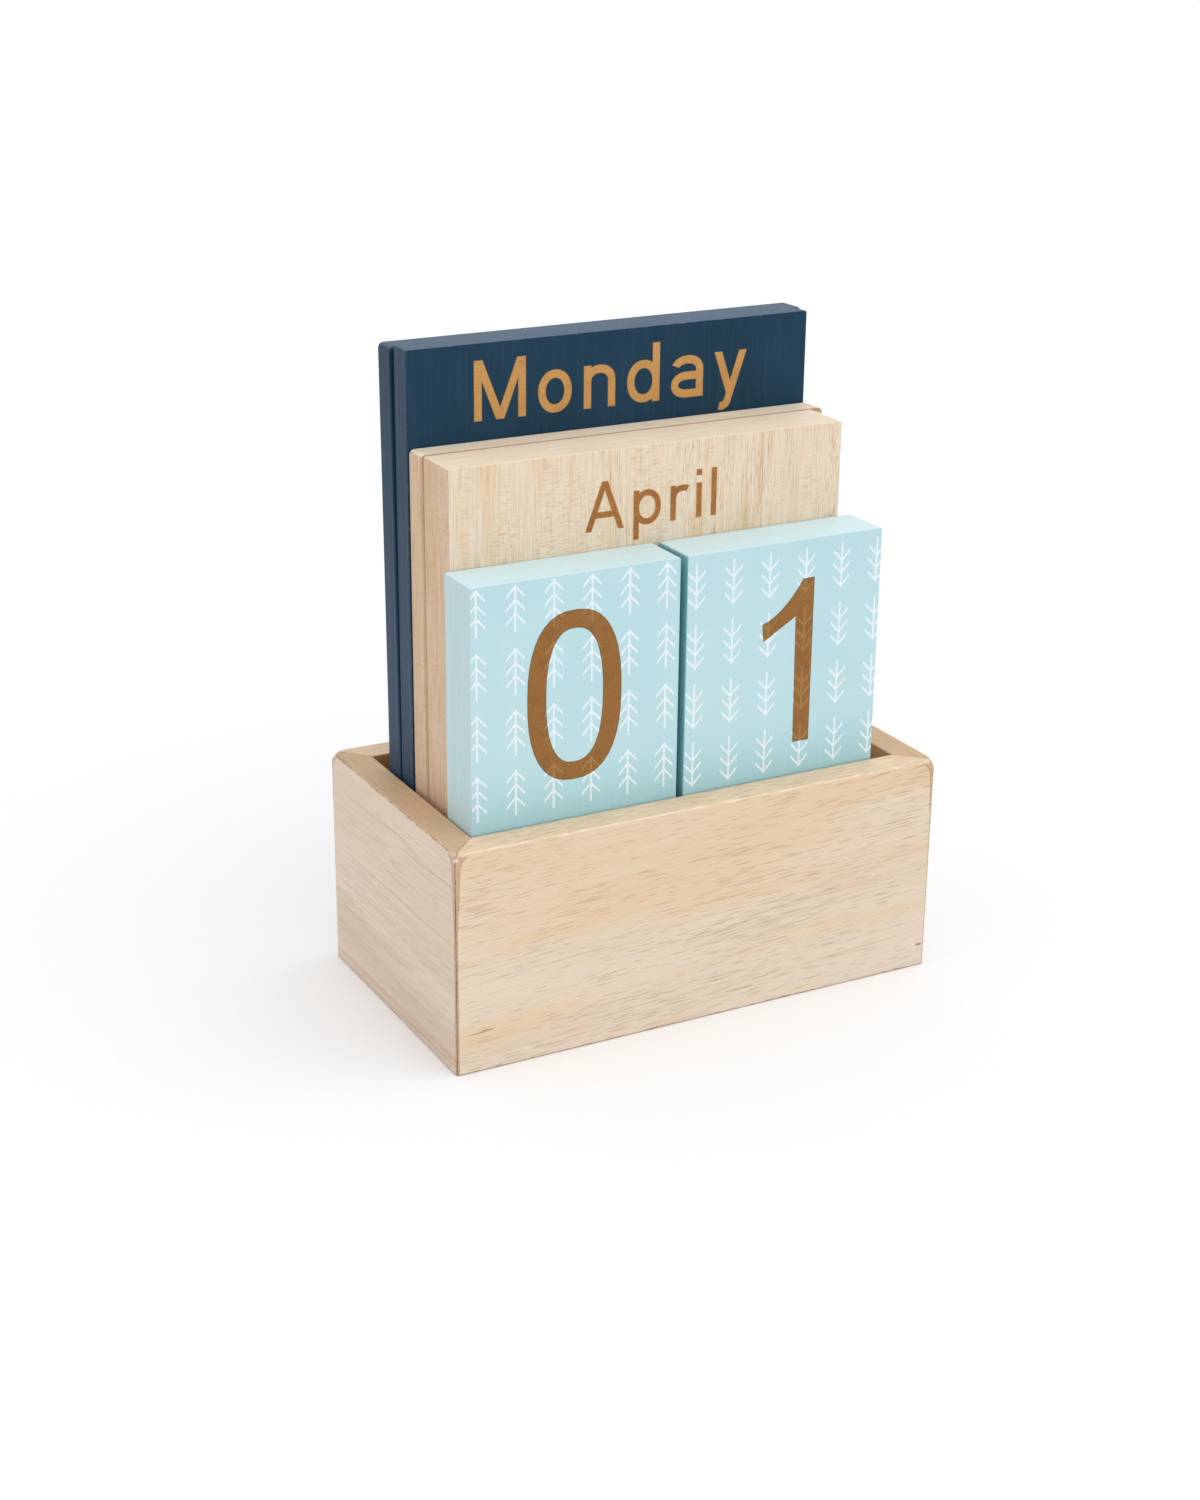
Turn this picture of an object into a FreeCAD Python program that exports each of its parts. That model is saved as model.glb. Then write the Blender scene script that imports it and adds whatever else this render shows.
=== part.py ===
import FreeCAD, Part
import math
import os

# Block calendar: an open wooden tray with loose weekday boards, month boards and number tiles in it.
# Lengths are in millimetres. X runs along the front to the right, Y runs to the back, Z runs up.
# The origin is the middle of the tray's underside.

# Tray
tray_width = 150.0
tray_depth = 83.0
tray_height = 64.0
wall_thickness = 9.0
upright_radius = 1.2        # the four outer upright corners
rim_outer_radius = 0.9
rim_inner_radius = 0.4
foot_radius = 0.5
sanded_corner_radius = 6.0  # the ball that sanding leaves where three faces meet
sanding_margin = 0.05       # keeps that ball off the edges beside the corner
mitre_gap = 0.12            # the glue line that shows at each corner

# Base panel, and the groove in the walls that holds it
panel_thickness = 3.5
panel_recess = 2.0          # the lip of the walls below the panel
groove_depth = 4.0
groove_clearance = 0.2

# Boards and tiles
weekday_board_height = 178.8
month_board_height = 152.9
tile_height = 126.1
corner_radius = 0.7         # the four corners of a board or tile, seen from the front
edge_chamfer = 0.12         # takes the sharp edge off both broad faces
rear_board_corner_radius = 1.5
rear_board_edge_chamfer = 0.3
rear_board_extra_width = 4.4  # the rear board of each kind is cut a little wider
weekday_rear_drop = 0.8     # and the rear weekday board a little shorter
weekday_warp = 1.6          # how far the head of the rear weekday board has bent back

# Room round the loose pieces, which share what is left of the tray's inside
front_clearance = 0.4       # between the front wall and the front tiles
tile_side_clearance = 0.5   # between the left wall and the tiles
month_side_clearance = 2.1
weekday_side_clearance = 1.3
rear_board_sidestep = 0.45  # how far left of its front board the rear board of each kind stands
close_gap = 0.1             # between the tiles of one column, and the front pair of month boards
snug_gap = 0.25             # between the other rows
month_rear_gap = 0.6        # the rear month board stands a little off the others
tile_column_gap = 2.1       # between the two front tiles
rear_tile_column_gap = 2.0
tile_free_room = 6.9        # right of the tiles
month_free_room = 11.4      # right of the front month boards
weekday_free_room = 8.9     # right of the front weekday board
rear_room = 10.25           # behind the weekday boards, at their feet

overrun = 5.0               # how far cutting shapes run past what they cut

TILE_PLACES = ("front", "rear")
MONTH_PLACES = ("front", "middle", "rear")
PARTS_FOLDER = "parts"

# Worked out from the sizes above
inner_width = tray_width - 2 * wall_thickness
inner_depth = tray_depth - 2 * wall_thickness
panel_top = panel_recess + panel_thickness
tile_gaps = (close_gap, snug_gap)
month_gaps = (close_gap, month_rear_gap, snug_gap)
weekday_gaps = (snug_gap, rear_room)
gaps_behind_rows = tile_gaps + month_gaps + weekday_gaps
board_thickness = (inner_depth - front_clearance - sum(gaps_behind_rows)) / len(gaps_behind_rows)
weekday_board_width = inner_width - weekday_side_clearance - weekday_free_room
month_board_width = inner_width - month_side_clearance - month_free_room
tile_width = (inner_width - tile_side_clearance - tile_column_gap - tile_free_room) / 2
easing = (corner_radius, edge_chamfer)
rear_board_easing = (rear_board_corner_radius, rear_board_edge_chamfer)


def box(low, high):
    """A block between two opposite corners."""
    size = [b - a for a, b in zip(low, high)]
    return Part.makeBox(*size, FreeCAD.Vector(*low))


def is_upright(edge):
    """True for an edge that runs straight up."""
    return math.isclose(edge.BoundBox.ZLength, edge.Length, rel_tol=1e-6)


def edges_at_height(shape, height):
    """All edges that lie level at one height."""
    return [edge for edge in shape.Edges
            if math.isclose(edge.BoundBox.ZMin, height, abs_tol=1e-6)
            and math.isclose(edge.BoundBox.ZMax, height, abs_tol=1e-6)]


def tray_block():
    """The outside of the tray as one rounded block."""
    block = box((-tray_width / 2, -tray_depth / 2, 0), (tray_width / 2, tray_depth / 2, tray_height))
    block = block.makeFillet(upright_radius, [edge for edge in block.Edges if is_upright(edge)])
    block = block.makeFillet(rim_outer_radius, edges_at_height(block, tray_height))
    return block.makeFillet(foot_radius, edges_at_height(block, 0))


def sanding_block():
    """A larger block with ball corners, which only takes off the tray's four top corners.

    A fillet of radius r cuts a square edge back by (root 2 - 1) * r, so the block has to reach past the
    tray by a fixed share of the difference in radius for its edges to stay clear of the tray's."""
    smallest_radius = min(upright_radius, rim_outer_radius)
    edge_share = (math.sqrt(2) - 1) / math.sqrt(2)
    reach = edge_share * (sanded_corner_radius - smallest_radius) + sanding_margin
    half_x = tray_width / 2 + reach
    half_y = tray_depth / 2 + reach
    block = box((-half_x, -half_y, -sanded_corner_radius - overrun), (half_x, half_y, tray_height + reach))
    return block.makeFillet(sanded_corner_radius, block.Edges)


def inner_rim_edges(ring):
    """The four straight edges round the mouth of the tray."""
    def on_mouth(edge):
        centre = edge.CenterOfMass
        on_side = math.isclose(abs(centre.x), inner_width / 2) and math.isclose(edge.Length, inner_depth)
        on_end = math.isclose(abs(centre.y), inner_depth / 2) and math.isclose(edge.Length, inner_width)
        return on_side or on_end
    return [edge for edge in edges_at_height(ring, tray_height) if on_mouth(edge)]


def tray_ring():
    """The four walls in one, with the mouth, the eased rim and the groove for the base panel."""
    ring = tray_block().common(sanding_block())
    half_x = inner_width / 2
    half_y = inner_depth / 2
    ring = ring.cut(box((-half_x, -half_y, -overrun), (half_x, half_y, tray_height + overrun)))
    ring = ring.makeFillet(rim_inner_radius, inner_rim_edges(ring))
    groove = box((-half_x - groove_depth, -half_y - groove_depth, panel_recess),
                 (half_x + groove_depth, half_y + groove_depth, panel_top + groove_clearance))
    return ring.cut(groove)


def mitre_wedge(half_length, half_reach):
    """The space that a front wall may fill: a level wedge between the mitre planes at both its ends.

    half_length is half the tray's size along the wall, and half_reach is half its size across."""
    setback = mitre_gap / 2 * math.sqrt(2)
    inward = (half_reach + wall_thickness) / 2
    outer_x = half_length + overrun - setback
    inner_x = half_length - inward - setback
    corners = [(-outer_x, -half_reach - overrun), (outer_x, -half_reach - overrun),
               (inner_x, -half_reach + inward), (-inner_x, -half_reach + inward)]
    points = [FreeCAD.Vector(x, y, -overrun) for x, y in corners]
    face = Part.Face(Part.makePolygon(points + points[:1]))
    return face.extrude(FreeCAD.Vector(0, 0, tray_height + 2 * overrun))


def tray_walls():
    """The four mitred walls, each cut from the ring by its own wedge."""
    ring = tray_ring()
    long_wedge = (tray_width / 2, tray_depth / 2)
    short_wedge = (tray_depth / 2, tray_width / 2)
    wedges = {"front_wall": (0, long_wedge), "right_wall": (90, short_wedge),
              "back_wall": (180, long_wedge), "left_wall": (270, short_wedge)}
    walls = {}
    for name, (turn, wedge_size) in wedges.items():
        wedge = mitre_wedge(*wedge_size)
        wedge.rotate(FreeCAD.Vector(), FreeCAD.Vector(0, 0, 1), turn)
        walls[name] = ring.common(wedge).Solids[0]
    return walls


def base_panel():
    """The panel that sits in the grooves of all four walls."""
    half_x = inner_width / 2 + groove_depth - groove_clearance
    half_y = inner_depth / 2 + groove_depth - groove_clearance
    return box((-half_x, -half_y, panel_recess), (half_x, half_y, panel_top))


def runs_through(edge):
    """True for an edge that runs through a board from its front to its back."""
    return math.isclose(edge.Length, board_thickness, rel_tol=1e-6)


def eased(board, corners, edges):
    """A board with its four corners rounded and the sharp edges of both broad faces taken off."""
    board = board.makeFillet(corners, [edge for edge in board.Edges if runs_through(edge)])
    face_edges = [edge for edge in board.Edges if not runs_through(edge)]
    return board.makeChamfer(edges, face_edges)


def flat_board(left, front, width, height, board_easing):
    """An upright board that stands on the base panel."""
    block = box((left, front, panel_top), (left + width, front + board_thickness, panel_top + height))
    return eased(block, *board_easing)


def warped_board(left, front, width, height, warp, board_easing):
    """An upright board that is square on its foot and bends to the back in one even curve."""
    bend_radius = (height ** 2 + warp ** 2) / (2 * warp)
    bend_angle = math.degrees(math.asin(height / bend_radius))
    bend_centre = FreeCAD.Vector(0, front + bend_radius, panel_top)
    corners = [(left, front), (left + width, front),
               (left + width, front + board_thickness), (left, front + board_thickness)]
    points = [FreeCAD.Vector(x, y, panel_top) for x, y in corners]
    foot = Part.Face(Part.makePolygon(points + points[:1]))
    return eased(foot.revolve(bend_centre, FreeCAD.Vector(-1, 0, 0), bend_angle), *board_easing)


def loose_pieces():
    """The boards and tiles, row by row from the front wall to the back."""
    front = front_clearance - inner_depth / 2
    pieces = {}

    tens_left = tile_side_clearance - inner_width / 2
    tile_size = (tile_width, tile_height)
    column_gaps = (tile_column_gap, rear_tile_column_gap)
    for place, column_gap, gap_behind in zip(TILE_PLACES, column_gaps, tile_gaps):
        ones_left = tens_left + tile_width + column_gap
        pieces["tens_tile_" + place] = flat_board(tens_left, front, *tile_size, easing)
        pieces["ones_tile_" + place] = flat_board(ones_left, front, *tile_size, easing)
        front += board_thickness + gap_behind

    month_left = month_side_clearance - inner_width / 2
    month_lefts = [month_left] * 2 + [month_left - rear_board_sidestep]
    month_widths = [month_board_width] * 2 + [month_board_width + rear_board_extra_width]
    month_easings = [easing] * 2 + [rear_board_easing]
    month_rows = zip(MONTH_PLACES, month_lefts, month_widths, month_easings, month_gaps)
    for place, left, width, row_easing, gap_behind in month_rows:
        pieces["month_board_" + place] = flat_board(left, front, width, month_board_height, row_easing)
        front += board_thickness + gap_behind

    left = weekday_side_clearance - inner_width / 2
    front_size = (weekday_board_width, weekday_board_height)
    pieces["weekday_board_front"] = flat_board(left, front, *front_size, easing)
    front += board_thickness + weekday_gaps[0]
    left -= rear_board_sidestep
    rear_size = (weekday_board_width + rear_board_extra_width, weekday_board_height - weekday_rear_drop)
    pieces["weekday_board_rear"] = warped_board(left, front, *rear_size, weekday_warp, rear_board_easing)
    return pieces


def main():
    os.makedirs(PARTS_FOLDER, exist_ok=True)
    shapes = tray_walls()
    shapes["base_panel"] = base_panel()
    shapes.update(loose_pieces())
    for name, shape in shapes.items():
        bounds = shape.optimalBoundingBox()
        print(f"{name}: valid {shape.isValid()}, {len(shape.Solids)} solid, {len(shape.Faces)} faces,"
              f" volume {shape.Volume:.1f}, x {bounds.XMin:.2f} to {bounds.XMax:.2f},"
              f" y {bounds.YMin:.2f} to {bounds.YMax:.2f}, z {bounds.ZMin:.2f} to {bounds.ZMax:.2f}")
        shape.exportStep(os.path.join(PARTS_FOLDER, name + ".step"))


main()
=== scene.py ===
import bmesh
import bpy
import math
from mathutils import Matrix, Vector
from mathutils.bvhtree import BVHTree
from mathutils.geometry import delaunay_2d_cdt


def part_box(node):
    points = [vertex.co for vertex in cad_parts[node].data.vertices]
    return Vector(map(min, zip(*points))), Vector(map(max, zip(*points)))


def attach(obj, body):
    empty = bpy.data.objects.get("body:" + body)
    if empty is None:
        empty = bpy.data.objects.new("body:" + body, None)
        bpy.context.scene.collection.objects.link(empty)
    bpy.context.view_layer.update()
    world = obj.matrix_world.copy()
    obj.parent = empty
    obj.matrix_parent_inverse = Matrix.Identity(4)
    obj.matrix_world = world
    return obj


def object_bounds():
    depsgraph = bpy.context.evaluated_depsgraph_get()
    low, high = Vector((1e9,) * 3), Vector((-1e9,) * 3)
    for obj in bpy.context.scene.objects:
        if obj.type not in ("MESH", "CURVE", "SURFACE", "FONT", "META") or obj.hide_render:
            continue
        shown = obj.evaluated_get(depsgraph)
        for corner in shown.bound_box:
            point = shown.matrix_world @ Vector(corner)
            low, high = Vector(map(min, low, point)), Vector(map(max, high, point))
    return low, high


# Looks of a block calendar: limed wooden tray, painted and bare boards, words, numbers and a small print.
# Everything is in metres in the frame of the loaded parts; values in millimetres are multiplied by MM.
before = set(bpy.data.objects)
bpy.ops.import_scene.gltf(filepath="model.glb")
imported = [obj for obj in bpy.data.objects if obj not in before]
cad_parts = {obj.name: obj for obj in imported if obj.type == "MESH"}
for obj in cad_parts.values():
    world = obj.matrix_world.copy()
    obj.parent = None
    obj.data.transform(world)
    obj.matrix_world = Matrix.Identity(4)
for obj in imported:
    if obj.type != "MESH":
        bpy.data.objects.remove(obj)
cad_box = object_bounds()

MM = 0.001

# Camera, in the pose of the photograph
CAMERA_PLACE = Vector((-317.8, -571.0, 319.5)) * MM
CAMERA_AZIMUTH = math.radians(-28.283)
CAMERA_ELEVATION = math.radians(21.243)
CAMERA_ROLL = math.radians(0.567)
CAMERA_LENS = 59.485
CAMERA_SENSOR = 36.0

# Light: a white sky with a broad soft lamp from the right
SKY_LEVEL = 0.92
LAMP_LEVEL = 0.2
LAMP_DIRECTION = Vector((0.35, -0.5, 0.8)).normalized()
LAMP_SPREAD = math.radians(80)
FLOOR_SIZE = 40.0
FLOOR_SHOWN = (0.955, 0.965, 0.985, 1.0)
FLOOR_BOUNCE = 0.9

# Words and numbers, in shares of the height of a capital
WEEKDAY_STROKE_SHARE = 0.132
MONTH_STROKE_SHARE = 0.115
WORD_WIDTH_SHARE = 0.84
X_HEIGHT_SHARE = 0.72
TAIL_SHARE = 0.29
LETTER_GAP_SHARE = 0.235
NUMBER_STROKE_SHARE = 0.112
LETTER_SQUARENESS = 2.1
NUMBER_SQUARENESS = 2.45
ARC_STEPS = 40

WEEKDAY_CAP = 16.0 * MM
WEEKDAY_BELOW_TOP = 4.6 * MM
MONTH_CAP = 13.1 * MM
MONTH_BELOW_TOP = 8.4 * MM
NUMBER_HEIGHT = 46.8 * MM
WORD_LIFT = 0.038 * MM
WORD_RIM_LIFT = 0.028 * MM
WORD_RIM = 0.14 * MM

WEEKDAYS = {
    "weekday_board_front": (("Monday", "Tuesday"), ("Wednesday", "Thursday")),
    "weekday_board_rear": (("Friday", ""), ("Saturday", "")),
}
MONTHS = {
    "month_board_front": (("April", "May"), ("June", "July")),
    "month_board_middle": (("August", "September"), ("October", "November")),
    "month_board_rear": (("December", "January"), ("February", "")),
}
NUMBERS = {
    "tens_tile_front": (("0", "1"), ("2", "3")),
    "ones_tile_front": (("1", "2"), ("3", "4")),
    "tens_tile_rear": (("5", "6"), ("7", "8")),
    "ones_tile_rear": (("9", "0"), ("", "")),
}

# Print on the number tiles: upright arrows with three heads
PRINT_LIFT = 0.02 * MM
PRINT_ROW_PITCH = 16.85 * MM
PRINT_MARGIN = 0.15 * MM
ARROW_LENGTH = 12.8 * MM
ARROW_HALF_WIDTH = 2.7 * MM
ARROW_HEAD_DROP = 2.9 * MM
ARROW_HEAD_PITCH = 3.6 * MM
ARROW_HEADS = 3
ARROW_LINE = 0.58 * MM
GHOST_LIFT = 0.044 * MM

# How the print lies on each kind of tile: 1 for arrows that point up and -1 for down, the places of the
# first column from the left and of the first row from the top, and the distance between columns
PRINTS = {
    "tens": (1, 1.7 * MM, 0.7 * MM, 11.1 * MM),
    "ones": (-1, 2.8 * MM, 2.4 * MM, 11.4 * MM),
}

# How far the number's middle lies from the tile's, and how far its head lies below the tile's top
NUMBER_PLACES = {
    "tens": (-0.6 * MM, 9.9 * MM),
    "ones": (-0.6 * MM, 11.2 * MM),
}


def shade(red, green, blue):
    """A colour as it shows on a screen, from 0 to 255 each, as linear values."""
    def linear(value):
        value /= 255
        return value / 12.92 if value <= 0.04045 else ((value + 0.055) / 1.055) ** 2.4
    return (linear(red), linear(green), linear(blue), 1.0)


# Small marks in the tray's wood: place, reach along each axis in millimetres, colour
WOOD_MARKS = (
    (Vector((-68.6, -41.5, 11.5)) * MM, (3.0, 1.0, 0.16), shade(178, 142, 116)),
    (Vector((-66.0, -41.5, 11.9)) * MM, (2.2, 1.0, 0.2), shade(164, 126, 102)),
    (Vector((72.7, -41.5, 6.8)) * MM, (1.1, 1.0, 0.35), shade(165, 128, 98)),
    (Vector((-73.9, -40.5, 62.0)) * MM, (0.8, 0.8, 0.7), shade(248, 238, 226)),
    (Vector((-73.1, -39.9, 63.3)) * MM, (0.8, 0.8, 0.6), shade(222, 164, 98)),
)


class Graph:
    """One material's nodes. Each method adds nodes and gives back the output that it makes."""

    def __init__(self, name):
        self.material = bpy.data.materials.new(name)
        self.material.use_nodes = True
        self.nodes = self.material.node_tree.nodes
        self.links = self.material.node_tree.links
        self.nodes.clear()
        coordinates = self.nodes.new("ShaderNodeTexCoord")
        self.place = self.vector("SCALE", coordinates.outputs["Object"], scale=1 / MM)
        self.x, self.y, self.z = self.split(self.place)
        self.directions = self.split(coordinates.outputs["Normal"])

    def put(self, socket, value):
        if isinstance(value, bpy.types.NodeSocket):
            self.links.new(value, socket)
        else:
            socket.default_value = value

    def node(self, kind, *values, **settings):
        node = self.nodes.new("ShaderNode" + kind)
        for name, value in settings.items():
            setattr(node, name, value)
        for socket, value in zip(node.inputs, values):
            self.put(socket, value)
        return node

    def math(self, operation, *values):
        return self.node("Math", *values, operation=operation).outputs[0]

    def vector(self, operation, *values, scale=None):
        node = self.node("VectorMath", *values, operation=operation)
        if scale is not None:
            self.put(node.inputs["Scale"], scale)
        return node.outputs["Vector"]

    def split(self, vector):
        return self.node("SeparateXYZ", vector).outputs[:3]

    def join(self, *values):
        return self.node("CombineXYZ", *values).outputs[0]

    def noise(self, place, stretch, detail=2.0, rough=0.5, warp=0.0):
        """Smooth noise about 0.5; stretch gives how often it changes per millimetre along each axis."""
        node = self.nodes.new("ShaderNodeTexNoise")
        self.put(node.inputs["Vector"], self.vector("MULTIPLY", place, stretch))
        self.put(node.inputs["Scale"], 1.0)
        self.put(node.inputs["Detail"], detail)
        self.put(node.inputs["Roughness"], rough)
        self.put(node.inputs["Distortion"], warp)
        return node.outputs["Fac"]

    def spots(self, place, stretch):
        """Distance to the nearest of many scattered points, in cells."""
        node = self.nodes.new("ShaderNodeTexVoronoi")
        self.put(node.inputs["Vector"], self.vector("MULTIPLY", place, stretch))
        self.put(node.inputs["Scale"], 1.0)
        return node.outputs["Distance"]

    def fade(self, value, start, stop, low=0.0, high=1.0):
        """Goes evenly from low to high while the value goes from start to stop."""
        node = self.node("MapRange", value, start, stop, low, high, interpolation_type="SMOOTHSTEP")
        return node.outputs[0]

    def mix(self, share, first, second, mode="MIX"):
        node = self.node("Mix", data_type="RGBA", blend_type=mode)
        for socket, value in zip((node.inputs[0], node.inputs[6], node.inputs[7]), (share, first, second)):
            self.put(socket, value)
        return node.outputs[2]

    def facing(self, axis):
        """1 where the surface faces along an axis, 0 where it faces well away from it."""
        return self.fade(self.math("ABSOLUTE", self.directions["XYZ".index(axis)]), 0.45, 0.9)

    def near(self, centre, reach):
        """1 round a place, 0 further off; the centre is in metres, the reach along each axis in mm."""
        offset = self.vector("SUBTRACT", self.place, Vector(centre) / MM)
        shares = self.vector("DIVIDE", offset, reach)
        distance = self.node("VectorMath", shares, operation="LENGTH").outputs["Value"]
        return self.fade(distance, 0.6, 1.3, 1.0, 0.0)

    def inside(self, low, high):
        """Distances in millimetres to the nearer of two planes along each axis of a box."""
        distances = []
        for value, near, far in zip((self.x, self.y, self.z), low, high):
            from_near = self.math("SUBTRACT", value, near / MM)
            to_far = self.math("SUBTRACT", far / MM, value)
            distances.append(self.math("MINIMUM", from_near, to_far))
        return distances

    def edge_distance(self, distances):
        """From the distances to a box's faces: how far a point on its surface is from the nearest edge."""
        a, b, c = distances
        nearer = self.math("MINIMUM", a, b)
        further = self.math("MAXIMUM", a, b)
        return self.math("MAXIMUM", nearer, self.math("MINIMUM", further, c))

    def joint(self, colour, axis, middle, reach, tone):
        """A darker tone round the joint between two pieces; middle and reach are in millimetres. Between the
        number tiles it is painted shade; along the month boards' seam it darkens the edges.
        """
        along = (self.x, self.y, self.z)["XYZ".index(axis)]
        distance = self.math("ABSOLUTE", self.math("SUBTRACT", along, middle))
        return self.mix(self.fade(distance, reach, reach + 0.3, 1.0, 0.0), colour, tone)

    def finish(self, colour, roughness, height, depth, gloss):
        """Ends the material: depth is the relief's height in millimetres, gloss the specular level."""
        bump = self.nodes.new("ShaderNodeBump")
        bump.inputs["Strength"].default_value = 1.0
        bump.inputs["Distance"].default_value = depth * MM
        self.put(bump.inputs["Height"], height)
        shader = self.nodes.new("ShaderNodeBsdfPrincipled")
        shader.inputs["Specular IOR Level"].default_value = gloss
        self.put(shader.inputs["Base Color"], colour)
        self.put(shader.inputs["Roughness"], roughness)
        self.put(shader.inputs["Normal"], bump.outputs[0])
        output = self.nodes.new("ShaderNodeOutputMaterial")
        self.links.new(shader.outputs[0], output.inputs["Surface"])
        return self.material


def grain_place(graph, along, tilt, seed):
    """The place in millimetres with the direction of the grain first and its tilt taken out."""
    axes = {
        "X": (graph.x, graph.z, graph.y),
        "Y": (graph.y, graph.z, graph.x),
        "Z": (graph.z, graph.x, graph.y),
    }
    first, across, depth = axes[along]
    across = graph.math("MULTIPLY_ADD", first, tilt, across)
    moved = graph.join(first, across, depth)
    return graph.vector("ADD", moved, (seed * 37.0, seed * 53.0, seed * 71.0))


def pores(graph, grain, stretch, low_size, high_size):
    """Short dashes along the grain that come in clusters."""
    cluster = graph.noise(grain, (0.02, 0.1, 0.1), detail=2.0)
    size = graph.fade(cluster, 0.4, 0.64, low_size, high_size)
    return graph.fade(graph.math("SUBTRACT", graph.spots(grain, stretch), size), -0.05, 0.06, 1.0, 0.0)


def growth_lines(graph, grain, stretch, width):
    """Long thin lines that follow the grain."""
    figure = graph.noise(grain, stretch, detail=2.0, warp=0.3)
    return graph.fade(graph.math("ABSOLUTE", graph.math("SUBTRACT", figure, 0.5)), 0.0, width, 1.0, 0.0)


def corner_wear(graph, colour, distances, tones):
    """Bare end grain down the tray's upright corners, wider near the top, with the mitre's line in it."""
    end_grain, outline, glue = tones
    from_side, from_front, _ = distances
    ragged = graph.noise(graph.place, (1.1, 1.1, 0.4), detail=4.0, rough=0.7)
    reach = graph.fade(graph.z, 40.0, 59.0, 0.7, 1.5)
    rounding = graph.math("POWER", graph.node("MapRange", graph.z, 58.0, 63.3, 0.0, 1.0).outputs[0], 3.0)
    reach = graph.math("MULTIPLY_ADD", rounding, 2.6, reach)
    wavy_reach = graph.math("MULTIPLY_ADD", ragged, 0.5, graph.math("SUBTRACT", reach, 0.25))
    from_outline = graph.math("SUBTRACT", graph.math("MAXIMUM", from_side, from_front), wavy_reach)
    below_rim = graph.fade(graph.z, 62.9, 63.5, 1.0, 0.0)
    strip = graph.math("MULTIPLY", graph.fade(from_outline, -0.1, 0.1, 0.6, 0.0), below_rim)
    colour = graph.mix(strip, colour, graph.mix(ragged, end_grain, outline))
    outline_share = graph.fade(graph.math("ABSOLUTE", from_outline), 0.04, 0.2, 0.5, 0.0)
    colour = graph.mix(graph.math("MULTIPLY", outline_share, below_rim), colour, outline)
    off_mitre = graph.math("ABSOLUTE", graph.math("SUBTRACT", from_side, from_front))
    glue_share = graph.fade(graph.math("MULTIPLY", off_mitre, ragged), 0.02, 0.1, 0.7, 0.0)
    glue_cover = graph.math("MULTIPLY", glue_share, graph.fade(ragged, 0.3, 0.5, 0.35, 1.0))
    return graph.mix(glue_cover, colour, glue)


def limed_colour(graph, grain, cream, warm, grey):
    """The broad tones of the tray's wood: warmer higher up, in grey bands low down."""
    tone = graph.noise(grain, (0.008, 0.045, 0.045), detail=3.0, warp=0.6)
    higher = graph.fade(graph.z, 12.0, 52.0, -0.1, 0.1)
    colour = graph.mix(graph.fade(graph.math("ADD", tone, higher), 0.38, 0.62), cream, warm)
    band = graph.noise(grain, (0.006, 0.11, 0.11), detail=3.0, rough=0.6, warp=0.4)
    low_down = graph.fade(graph.z, 46.0, 16.0, 0.15, 0.75)
    return graph.mix(graph.math("MULTIPLY", low_down, graph.fade(band, 0.36, 0.58)), colour, grey)


def edge_wear(graph, colour, distances, tones, edge_wear_and_highlight_share, least_reach):
    """Ragged band along the tray's edges: brown wear low down, and along the rim another tone, which is a
    painted highlight on the front and back walls and brown wear on the short sides.
    """
    low_tone, rim_wear_and_highlight_tone = tones
    ragged = graph.noise(graph.place, (0.3, 0.3, 0.3), detail=4.0, rough=0.7)
    worn_reach = graph.fade(ragged, 0.42, 0.7, least_reach, 0.65)
    past_wear = graph.math("SUBTRACT", graph.edge_distance(distances), worn_reach)
    worn = graph.fade(past_wear, -0.15, 0.12, 1.0, 0.0)
    # Near the rim the band takes the rim tone: a painted highlight on the front and back walls, brown wear on
    # the short sides.
    near_rim = graph.fade(graph.z, 57.0, 62.0)
    share = graph.fade(graph.z, 57.0, 62.0, 0.75, edge_wear_and_highlight_share)
    return graph.mix(graph.math("MULTIPLY", worn, share), colour, graph.mix(near_rim, low_tone, rim_wear_and_highlight_tone))


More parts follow.
